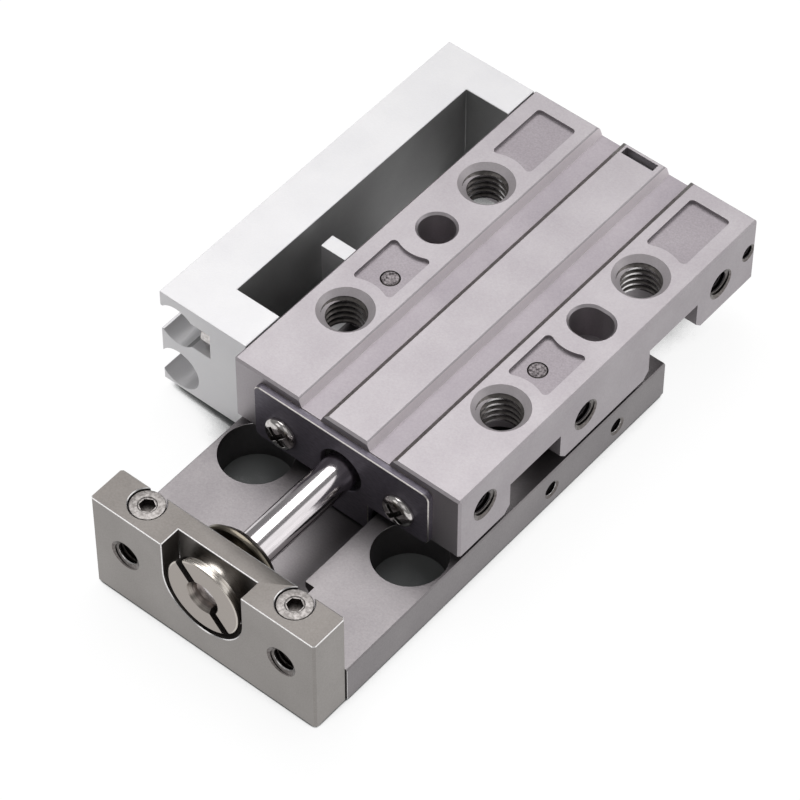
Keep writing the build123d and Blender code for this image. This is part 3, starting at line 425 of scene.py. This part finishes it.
body = dressed("body", "milled_body", "cylinder", body_finish, painted_highlight_edge_finish, 0.05)
table = dressed("table", "slide_table", "table", table_finish, painted_highlight_edge_finish, 0.06)
end_plate = dressed("end_plate", "front_end_plate", "table", plate_finish, painted_highlight_edge_finish, 0.1)
rail = dressed("sensor_rail", "grooved_sensor_rail", "cylinder", rail_finish, rail_finish, 0.08)
plate = dressed("retainer_plate", "rod_cover_plate", "cylinder", dark_finish, painted_highlight_plate_edge_finish, 0.12)
carrier = dressed("magnet_carrier", "magnet_arm", "table", rail_finish, rail_finish, 0.08)

# %% Paint the faces that were made another way
POCKET_DEPTH_MM, GROOVE_DEPTH_MM, DEPTH_SPAN_MM = 0.45, 1.0, 0.02
ROD_HOLE_SPAN_MM = 3.5
WINDOW_FRAME_MM, SLOT_FLOOR_MM = 1.2, 2.0
rail_low, rail_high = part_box("sensor_rail")


def is_floor(depth_mm):
    """A test for flat faces that look up from a certain depth under the body's top."""
    return lambda centre, normal: normal.z > 0.99 and abs(top_mm - centre.z - depth_mm) < DEPTH_SPAN_MM


def is_right_facing_wall(centre, normal):
    """True on the leaning walls of the grooves that look to the right."""
    return 0.3 < normal.z < 0.6 and normal.x > 0.5 and top_mm - centre.z < GROOVE_DEPTH_MM


def is_in_window(centre, normal):
    """True on the walls inside the rail's window."""
    from_sides = min(centre.x - rail_low.x / MM, centre.y - rail_low.y / MM, rail_high.y / MM - centre.y)
    height = centre.z - body_low.z / MM
    below_top = rail_high.z / MM - centre.z
    return from_sides > WINDOW_FRAME_MM and height > SLOT_FLOOR_MM and below_top > 0.1 and abs(normal.z) < 0.9


paint(plate, dark_finish, lambda centre, normal: off_axis(centre) < ROD_HOLE_SPAN_MM)
# The end plate's top is painted darker, a painted shade.
paint(end_plate, painted_shade_plate_top_finish, lambda centre, normal: normal.z > 0.99)
paint(rail, window_finish, is_in_window)
paint(body, pocket_finish, is_floor(POCKET_DEPTH_MM))
paint(body, groove_finish, is_floor(GROOVE_DEPTH_MM))
# The grooves' walls that look right are painted lighter, painted light.
paint(body, painted_light_wall_finish, is_right_facing_wall)

# %% [markdown]
# ## Cut the threads
# Every threaded hole shows a few turns of its thread. The flanks between the crests are painted dark,
# a painted shade, and on the large threads the crests are painted bright, a painted highlight. A tap
# cuts a V-shaped groove that climbs by one pitch a turn, so the cutter here is the same: a small
# triangle swept up a helix by the Screw modifier, and taken out of the piece with a boolean. The faces
# that a cutter leaves take the finish that the cutter carries.

# %% Sweep a thread cutter
HALF_GROOVE = 0.43  # of the pitch, which leaves a narrow crest between two turns
INTO_HOLE_MM = 0.12  # how far the cutter reaches in from the hole's wall
TURN_STEPS = 32


def shaded(cutter, piece, finish):
    """Gives a cutter the finish that its cut will show in a piece, at the same number as there."""
    slot = slot_of(piece, finish)
    for _ in range(slot + 1):
        cutter.data.materials.append(finish)
    for face in cutter.data.polygons:
        face.material_index = slot
    return cutter


def thread_cutter(piece, centre_mm, axis, size_mm, depth_mm):
    """A closed coil of triangular section: axis is the way out of the hole, centre_mm its mouth.

    size_mm is the hole's radius, the thread's outer radius and its pitch."""
    hole_mm, major_mm, pitch_mm = size_mm
    half = HALF_GROOVE * pitch_mm * MM
    inner, outer = (hole_mm - INTO_HOLE_MM) * MM, major_mm * MM
    bpy.ops.object.select_all(action="DESELECT")
    bpy.ops.mesh.primitive_circle_add(vertices=3, radius=half, fill_type="NOTHING")
    coil = bpy.context.object
    corners = [(outer, 0, 0), (inner, 0, half), (inner, 0, -half)]
    for vertex, corner in zip(coil.data.vertices, corners):
        vertex.co = corner
    screw = coil.modifiers.new("helix", "SCREW")
    screw.axis = "Z"
    screw.angle = 2 * pi
    screw.screw_offset = pitch_mm * MM
    screw.iterations = max(1, round(depth_mm / pitch_mm))
    screw.steps = screw.render_steps = TURN_STEPS
    screw.use_merge_vertices = False
    bpy.ops.object.modifier_apply(modifier=screw.name)
    bpy.ops.object.mode_set(mode="EDIT")
    bpy.ops.mesh.select_all(action="SELECT")
    bpy.ops.mesh.fill_holes(sides=4)
    bpy.ops.mesh.select_all(action="SELECT")
    bpy.ops.mesh.normals_make_consistent(inside=False)
    bpy.ops.object.mode_set(mode="OBJECT")
    turn = Vector((0, 0, 1)).rotation_difference(Vector(axis)).to_matrix().to_4x4()
    lift = Matrix.Translation((0, 0, -depth_mm * MM))
    coil.data.transform(Matrix.Translation(Vector(centre_mm) * MM) @ turn @ lift)
    return shaded(coil, piece, painted_shade_thread_finish)


def cut(piece, cutters):
    """Takes the cutters out of the piece in one boolean."""
    bpy.ops.object.select_all(action="DESELECT")
    for cutter in cutters:
        cutter.select_set(True)
    bpy.context.view_layer.objects.active = cutters[0]
    if len(cutters) > 1:
        bpy.ops.object.join()
    tool = bpy.context.view_layer.objects.active
    before = len(piece.data.polygons)
    pick(piece)
    boolean = piece.modifiers.new("cut", "BOOLEAN")
    boolean.operation = "DIFFERENCE"
    boolean.solver = "EXACT"
    boolean.object = tool
    bpy.ops.object.modifier_apply(modifier=boolean.name)
    bpy.data.objects.remove(tool, do_unlink=True)
    print(piece.name, "faces before and after:", before, len(piece.data.polygons))


def box_cutter(size_mm, centre_mm, turn_degrees, axis):
    """A block to cut a slot, a facet or one arm of a cross with."""
    bpy.ops.object.select_all(action="DESELECT")
    bpy.ops.mesh.primitive_cube_add(size=1)
    block = bpy.context.object
    block.data.transform(Matrix.Diagonal((*size_mm, 1)) @ Matrix.Scale(MM, 4))
    spin = Matrix.Rotation(radians(turn_degrees), 4, axis)
    block.data.transform(Matrix.Translation(Vector(centre_mm) * MM) @ spin)
    return block


# %% [markdown]
# The places of the holes are those of the mounting points that the record lists, so they can't drift
# away from the solids. The roots of the M3 and M2 threads are drawn a little wider than the real ones,
# or they wouldn't show at this size.

# %% Cut the body's threads
mounts = {mount["name"]: mount for mount in frame["record"]["mounts"]}
M5, M3, M2 = (2.1, 2.55, 0.8), (1.25, 1.72, 0.5), (0.8, 1.1, 0.4)
SIDES = (-1, 1)
SINK_DEPTH_MM = 0.45


def mount_mm(name):
    """Where a mount is, in millimetres."""
    return [c / MM for c in mounts[name]["pos_m"]]


def pattern_mm(name):
    """The places of the holes of a bolt pattern in x and y, in millimetres."""
    x, y, _ = mount_mm(name)
    spacing = mounts[name]["dims"]
    half_x, half_y = spacing["spacing_x_mm"] / 2, spacing["spacing_y_mm"] / 2
    return [(x + sx * half_x, y + sy * half_y) for sx in SIDES for sy in SIDES]


def paint_countersinks(piece, axis):
    """Paints the cones round the small threads dark, a painted shade: axis is the way out of the holes."""
    way = Vector(axis)
    mouth_mm = max(vertex.co.dot(way) for vertex in piece.data.vertices) / MM - SINK_DEPTH_MM
    paint(piece, painted_shade_countersink_finish,
          lambda centre, normal: 0.8 < normal.dot(way) < 0.93 and centre.dot(way) > mouth_mm)


mounting_places = pattern_mm("body_mounting_threads")
body_cutters = [thread_cutter(body, (x, y, top_mm), (0, 0, 1), M5, 5.0) for x, y in mounting_places]
side_holes = {"front_port": M3, "blind_side_thread": M3, "rear_port": M3, "rear_side_thread": M2}
for name, size in side_holes.items():
    _, y, z = mount_mm(name)
    body_cutters.append(thread_cutter(body, (body_high.x / MM, y, z), (1, 0, 0), size, 2.8))
cut(body, body_cutters)
paint_countersinks(body, (1, 0, 0))

# %% [markdown]
# ### The grooves' edges
# On the real body the edge on the left of each raised land is a wider slant than the one on its right,
# and it shows as a thin dark line from end to end. Four long blocks, turned by 30 degrees, plane the
# edges down, and the wide slants are painted dark, a painted shade that draws that line. Then the
# crests of the large threads are painted bright, a painted highlight, and their mouths lighter and
# duller, painted light.

# %% Plane the grooves' edges
GROOVE_INNER_MM, GROOVE_OUTER_MM = 2.7, 6.05
NARROW_MM, WIDE_MM = 0.12, 0.4
SLANT_DEGREES = 30.0
BLOCK_MM = (1.0, 60.0, 1.0)
CREST_SPAN_MM, MOUTH_SPAN_MM = 2.2, 3.2

slant = radians(SLANT_DEGREES)
facets = []
for edge, land, wide, finish in ((-GROOVE_OUTER_MM, -1, NARROW_MM, body_finish),
                                 (-GROOVE_INNER_MM, 1, WIDE_MM, painted_shade_land_edge_finish),
                                 (GROOVE_INNER_MM, -1, NARROW_MM, body_finish),
                                 (GROOVE_OUTER_MM, 1, WIDE_MM, painted_shade_land_edge_finish)):
    across = edge + land * (wide / 2 - BLOCK_MM[0] / 2 * sin(slant))
    height = top_mm - wide / 2 * tan(slant) + BLOCK_MM[2] / 2 * cos(slant)
    facet = box_cutter(BLOCK_MM, (across, 18.0, height), -land * SLANT_DEGREES, "Y")
    facets.append(shaded(facet, body, finish))
cut(body, facets)


def off_thread(centre):
    """How far a place is from the axis of the nearest large thread, in millimetres."""
    return min(Vector((centre.x - x, centre.y - y)).length for x, y in mounting_places)


# The large threads' crests are painted bright, a painted highlight, and their mouths lighter, painted light.
paint(body, painted_highlight_edge_finish,
      lambda centre, normal: abs(normal.z) < 0.1 and off_thread(centre) < CREST_SPAN_MM, over=body_finish)
paint(body, painted_light_mouth_finish,
      lambda centre, normal: 0.2 < normal.z < 0.9 and off_thread(centre) < MOUTH_SPAN_MM, over=body_finish)
smooth(body)

# %% Cut the table's and the end plate's threads
_, table_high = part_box("table")
plate_low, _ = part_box("end_plate")
table_cutters = []
for name in ("table_side_thread_front", "table_side_thread_rear"):
    _, y, z = mount_mm(name)
    table_cutters.append(thread_cutter(table, (table_high.x / MM, y, z), (1, 0, 0), M2, 2.4))
table_cutters += [thread_cutter(table, (x, y, 0), (0, 0, -1), M3, 3.0)
                  for x, y in pattern_mm("table_work_threads")]
cut(table, table_cutters)
paint_countersinks(table, (1, 0, 0))
smooth(table)
_, _, front_z = mount_mm("end_plate_threads")
plate_thread_x = mounts["end_plate_threads"]["dims"]["spacing_x_mm"] / 2
cut(end_plate, [thread_cutter(end_plate, (side * plate_thread_x, plate_low.y / MM, front_z),
                              (0, -1, 0), M3, 1.5) for side in SIDES])
paint_countersinks(end_plate, (0, -1, 0))
smooth(end_plate)
for piece in (rail, plate, carrier):
    smooth(piece)

# %% [markdown]
# ## Turned pieces
# The rod, the flange, the nut and the screw heads come off a lathe. Each is drawn as a lathe hand
# would see it: half a profile, which is then spun round the axis. One corner point is extruded from
# mark to mark, and Spin sweeps the line into a skin of 96 faces round, smooth even in a close view.

# %% Spin a profile
SPIN_STEPS = 96


def turned(name, marks_mm, centre_mm, axis, finish):
    """A solid of revolution. marks_mm are (distance along axis, radius) pairs from end to end."""
    bpy.ops.object.select_all(action="DESELECT")
    bpy.ops.mesh.primitive_plane_add(size=1 * MM)
    piece = bpy.context.object
    piece.name = piece.data.name = name
    bpy.ops.object.mode_set(mode="EDIT")
    bpy.ops.mesh.select_all(action="SELECT")
    bpy.ops.mesh.merge(type="CENTER")
    along, radius = marks_mm[0]
    bpy.ops.transform.translate(value=(radius * MM, 0, along * MM))
    for (old_along, old_radius), (new_along, new_radius) in zip(marks_mm, marks_mm[1:]):
        step = ((new_radius - old_radius) * MM, 0, (new_along - old_along) * MM)
        bpy.ops.mesh.extrude_region_move(TRANSFORM_OT_translate={"value": step})
    bpy.ops.mesh.select_all(action="SELECT")
    bpy.ops.mesh.spin(steps=SPIN_STEPS, angle=2 * pi, center=(0, 0, 0), axis=(0, 0, 1))
    bpy.ops.mesh.select_all(action="SELECT")
    bpy.ops.mesh.remove_doubles(threshold=0.001 * MM)
    bpy.ops.mesh.normals_make_consistent(inside=False)
    bpy.ops.object.mode_set(mode="OBJECT")
    turn = Vector((0, 0, 1)).rotation_difference(Vector(axis)).to_matrix().to_4x4()
    piece.data.transform(Matrix.Translation(Vector(centre_mm) * MM) @ turn)
    piece.data.materials.clear()
    piece.data.materials.append(finish)
    return piece


# %% [markdown]
# ### Rod, flange and nut
# The rod's ground part runs from the flange to the piston, with a thinner neck through the end plate
# and a stud for the piston. The flange has a rounded rim, and the nut a bevelled one and a slot for
# its driver, which stands at an angle because a nut stops where it is tight.

# %% Turn the rod, the flange and the nut
flange_low, flange_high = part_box("rod_flange")
nut_low, nut_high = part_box("rod_end_nut")
piston_low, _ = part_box("piston")
tip, shoulder = rod_low.y / MM, flange_high.y / MM
stud, end = piston_low.y / MM, rod_high.y / MM
rod_marks = [(tip, 0), (tip, 1.5), (tip + 0.2, 1.7), (shoulder, 1.7), (shoulder, 1.85),
             (shoulder + 0.15, 2.0), (stud - 0.15, 2.0), (stud, 1.85), (stud, 1.25), (end - 0.2, 1.25),
             (end, 1.05), (end, 0)]
rod = turned("chromed_rod", rod_marks, (0, 0, axis_mm), (0, 1, 0), chrome_finish)
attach(rod, "table")
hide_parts("piston_rod")
smooth(rod)

front, rear = flange_low.y / MM, flange_high.y / MM
disc = front + 0.6
flange_marks = [(front, 1.73), (front, 2.75), (front + 0.05, 2.8), (disc, 2.8), (disc, 4.5),
                (disc + 0.1, 4.66), (disc + 0.2, 4.7), (disc + 0.42, 4.7), (disc + 0.5, 4.66),
                (rear - 0.05, 3.85), (rear, 3.75), (rear, 1.73), (front, 1.73)]
flange = turned("turned_flange", flange_marks, (0, 0, axis_mm), (0, 1, 0), flange_finish)
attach(flange, "table")
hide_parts("rod_flange")
smooth(flange)

NUT_TURN_DEGREES = 49.0
front, rear = nut_low.y / MM, nut_high.y / MM
nut_marks = [(front + 0.45, 1.75), (front, 2.0), (front, 4.32), (front + 0.1, 4.48), (front + 0.3, 4.5),
             (front + 0.34, 4.42), (front + 0.6, 4.4), (front + 0.64, 4.32), (front + 1.0, 4.28),
             (front + 1.1, 4.18), (front + 1.1, 3.2), (rear, 3.2), (rear, 1.75), (front + 0.45, 1.75)]
nut = turned("slotted_round_nut", nut_marks, (0, 0, axis_mm), (0, 1, 0), turned_finish)
# The nut's rim is painted lighter, a painted highlight.
paint(nut, painted_highlight_rim_finish, lambda centre, normal: abs(normal.y) < 0.9 and off_axis(centre) > 3.0)
# The driver slot is painted dark, a painted shade.
slot_block = box_cutter((11.0, 2.0, 1.15), (0, front, axis_mm), NUT_TURN_DEGREES, "Y")
cut(nut, [shaded(slot_block, nut, painted_shade_recess_finish)])
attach(nut, "table")
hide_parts("rod_end_nut")
smooth(nut)

# %% [markdown]
# ### Screw heads
# The two small screws in the dark plate have domed pan heads with a cross recess. The two screws in
# the end plate are socket heads that sit flush in their counterbores, with the scuffs that a hexagon
# key leaves. One of each is modelled, and the second is a copy with its own mesh.

# %% Turn the screws
def copied(piece, name, shift_mm):
    """A copy with its own mesh, moved by shift_mm."""
    twin = piece.copy()
    twin.data = piece.data.copy()
    twin.name = twin.data.name = name
    bpy.context.scene.collection.objects.link(twin)
    twin.data.transform(Matrix.Translation(Vector(shift_mm) * MM))
    return twin


def joined(pieces, name):
    """Several solids as one piece, as screws of one kind are one node."""
    bpy.ops.object.select_all(action="DESELECT")
    for piece in pieces:
        piece.select_set(True)
    bpy.context.view_layer.objects.active = pieces[0]
    bpy.ops.object.join()
    pieces[0].name = pieces[0].data.name = name
    return pieces[0]


PAN_HEIGHT_MM, PAN_RADIUS_MM = 1.0, 1.9
CROSS_ARM_MM = (2.5, 1.1, 0.55)
screws_low, screws_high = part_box("retainer_screws")
head_y = screws_low.y / MM + PAN_HEIGHT_MM
pan_x = screws_high.x / MM - PAN_RADIUS_MM
pan_marks = [(-2.6, 0), (-2.6, 0.85), (-2.45, 1.0), (0, 1.0), (0, 1.86), (0.06, 1.9), (0.3, 1.9),
             (0.48, 1.84), (0.66, 1.68), (0.82, 1.4), (0.93, 1.0), (0.98, 0.6), (1.0, 0)]
pan = turned("pan_head_screw", pan_marks, (-pan_x, head_y, axis_mm), (0, -1, 0), screw_finish)
# The cross recess is painted dark, a painted shade.
for angle in (45, -45):
    arm = box_cutter(CROSS_ARM_MM, (-pan_x, head_y - 0.8, axis_mm), angle, "Y")
    cut(pan, [shaded(arm, pan, painted_shade_recess_finish)])
rounded = pan.modifiers.new("worn_edges", "BEVEL")
rounded.width = 0.05 * MM
rounded.limit_method = "ANGLE"
rounded.angle_limit = radians(50)
bpy.ops.object.modifier_apply(modifier=rounded.name)
right_pan = copied(pan, "pan_head_screw_right", (2 * pan_x, 0, 0))
pans = joined([pan, right_pan], "cross_recess_pan_head_screws")
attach(pans, "cylinder")
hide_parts("retainer_screws")
smooth(pans)

SOCKET_RADIUS_MM, HEXAGON_RADIUS_MM, HEXAGON_DEPTH_MM = 1.75, 0.87, 0.95
sockets_low, sockets_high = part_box("end_plate_screws")
socket_x = sockets_high.x / MM - SOCKET_RADIUS_MM
socket_y = (sockets_low.y + sockets_high.y) / 2 / MM
socket_z = sockets_high.z / MM
length = socket_z - sockets_low.z / MM
socket_marks = [(-length, 0), (-length, 0.85), (0.15 - length, 1.0), (-1.9, 1.0), (-1.9, 1.8), (-1.85, 1.85),
                (-0.12, 1.85), (-0.03, 1.8), (0, 1.7), (0, 1.02), (-0.1, 0.9), (-0.1, 0)]
socket = turned("socket_head_screw", socket_marks, (-socket_x, socket_y, socket_z), (0, 0, 1), scuffed_finish)
# The hexagon socket is painted dark, a painted shade.
bpy.ops.object.select_all(action="DESELECT")
bpy.ops.mesh.primitive_cylinder_add(vertices=6, radius=HEXAGON_RADIUS_MM * MM,
                                    depth=2 * HEXAGON_DEPTH_MM * MM,
                                    location=(-socket_x * MM, socket_y * MM, socket_z * MM))
cut(socket, [shaded(bpy.context.object, socket, painted_shade_recess_finish)])
right_socket = copied(socket, "socket_head_screw_right", (2 * socket_x, 0, 0))
sockets = joined([socket, right_socket], "socket_head_screws")
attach(sockets, "table")
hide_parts("end_plate_screws")
smooth(sockets)

# %% [markdown]
# ### Plugs
# The holes that were drilled for the air end in the pockets, and a small steel plug is pressed into
# each. Its rim is rounded and painted dark, a painted shade, and its face is mottled from the press.

# %% Turn the two plugs in the pockets
PLUG_RADIUS_MM = 1.05
plugs_low, plugs_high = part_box("passage_plugs")
plug_x = plugs_high.x / MM - PLUG_RADIUS_MM
plug_y = (plugs_low.y + plugs_high.y) / 2 / MM
plug_marks = [(-1.5, 0), (-1.5, 1.0), (-0.16, PLUG_RADIUS_MM), (0, 0.9), (0, 0)]
plug = turned("passage_plug", plug_marks, (-plug_x, plug_y, plugs_high.z / MM), (0, 0, 1), plug_finish)
paint(plug, painted_shade_recess_finish, lambda centre, normal: abs(normal.z) < 0.9)
right_plug = copied(plug, "passage_plug_right", (2 * plug_x, 0, 0))
plugs = joined([plug, right_plug], "pressed_passage_plugs")
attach(plugs, "cylinder")
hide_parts("passage_plugs")
smooth(plugs)

# %% [markdown]
# ## Studio floor
# The product stands on white paper. The camera and the metal see it as plain white, and a share of
# it is real paper that keeps the soft shadow. Under the object no light reaches the paper, so there
# the glow has to stop, or the holes through the table would shine like windows. The Ambient Occlusion
# node tells how open the air above a place is, within a few millimetres. It reads that from the
# pieces around it, so the shade follows the table when it slides.

# %% Lay the paper
bpy.ops.object.select_all(action="DESELECT")
bpy.ops.mesh.primitive_plane_add(size=6.0, location=(0, 0, cad_low.z - 0.05 * MM))
floor = bpy.context.object
floor.name = "studio_floor"
GLOW_SHARE, GLOW_STRENGTH = 0.85, 1.06
SHELTER_MM = 9.0
floor_finish = bpy.data.materials.new("white_studio_paper")
floor_finish.use_nodes = True
floor_finish.node_tree.nodes.clear()

ray = add_node(floor_finish, "ShaderNodeLightPath")
mirrored = add_node(floor_finish, "ShaderNodeMath", {"operation": "MAXIMUM"},
                    [(0, ray, "Is Glossy Ray"), (1, ray, "Is Transmission Ray")])
seen = add_node(floor_finish, "ShaderNodeMath", {"operation": "MAXIMUM"},
                [(0, mirrored, "Value"), (1, ray, "Is Camera Ray")])
shelter = add_node(floor_finish, "ShaderNodeAmbientOcclusion", {"samples": 16, "Distance": SHELTER_MM * MM})
uncovered = add_node(floor_finish, "ShaderNodeMapRange",
                     {"interpolation_type": "SMOOTHSTEP", "From Min": 0.34, "From Max": 0.54},
                     [("Value", shelter, "AO")])
bright_share = add_node(floor_finish, "ShaderNodeMath", {"operation": "MULTIPLY"},
                        [(0, seen, "Value"), (1, uncovered, "Result")])
share = add_node(floor_finish, "ShaderNodeMapRange", {"To Max": GLOW_SHARE},
                 [("Value", bright_share, "Value")])
# Where the paper is covered, its colour is painted darker too, a painted shade under the object.
paper_with_painted_shade = add_node(floor_finish, "ShaderNodeValToRGB", {}, [("Fac", uncovered, "Result")])
paper_with_painted_shade.color_ramp.elements[0].color = linear("#7c7e7e")
paper_with_painted_shade.color_ramp.elements[1].color = linear("#f2f2f2")
paper = add_node(floor_finish, "ShaderNodeBsdfDiffuse", {}, [("Color", paper_with_painted_shade, "Color")])
glow = add_node(floor_finish, "ShaderNodeEmission", {"Color": linear("#ffffff"), "Strength": GLOW_STRENGTH})
sheet = add_node(floor_finish, "ShaderNodeMixShader", {},
                 [("Fac", share, "Result"), (1, paper, "BSDF"), (2, glow, "Emission")])
add_node(floor_finish, "ShaderNodeOutputMaterial", {}, [("Surface", sheet, "Shader")])
floor.data.materials.append(floor_finish)
print("floor nodes:", len(floor_finish.node_tree.nodes))

# %% [markdown]
# ## Light
# A large soft box hangs over the object, a little behind it and to its left, and a second one stands
# on its right, so the body's top is the palest face and its right side a tone darker. Between them is
# a dark gap. The blasted faces blur both into an even grey, and the chromed rod shows them sharply, as
# bright bands with a dark line between. A weak card in front lifts the end plate, and a narrow strip on
# the left lights the rail's front. Their brightness is set in light per area, where 1 makes a lamp that
# fills the whole sky read as white on a white card.

# %% Hang the soft boxes
world = bpy.data.worlds.new("studio_world")
bpy.context.scene.world = world
world.use_nodes = True
world.node_tree.nodes["Background"].inputs["Color"].default_value = linear("#ffffff")
world.node_tree.nodes["Background"].inputs["Strength"].default_value = 0.28


def soft_box(name, way, size_mm, brightness, distance_mm):
    """A square area lamp in the direction way from the object, facing it."""
    lamp_data = bpy.data.lights.new(name, "AREA")
    lamp_data.shape = "SQUARE"
    lamp_data.size = size_mm * MM
    lamp_data.energy = brightness * pi * (size_mm * MM) ** 2
    lamp = bpy.data.objects.new(name, lamp_data)
    bpy.context.scene.collection.objects.link(lamp)
    way = Vector(way).normalized()
    lamp.location = way * distance_mm * MM
    lamp.rotation_euler = (-way).to_track_quat("-Z", "Y").to_euler()
    print(name, "watts:", round(lamp_data.energy, 2))
    return lamp


soft_box("key_softbox", (-0.26, 0.24, 0.89), 330, 3.2, 400)
soft_box("right_softbox", (0.74, 0.52, 0.42), 560, 0.95, 600)
soft_box("front_card", (0.42, -0.62, 0.66), 420, 0.5, 700)
soft_box("left_front_strip", (-0.41, -0.77, 0.49), 240, 1.2, 600)

# %% Set the view transform
bpy.context.scene.view_settings.view_transform = "Standard"
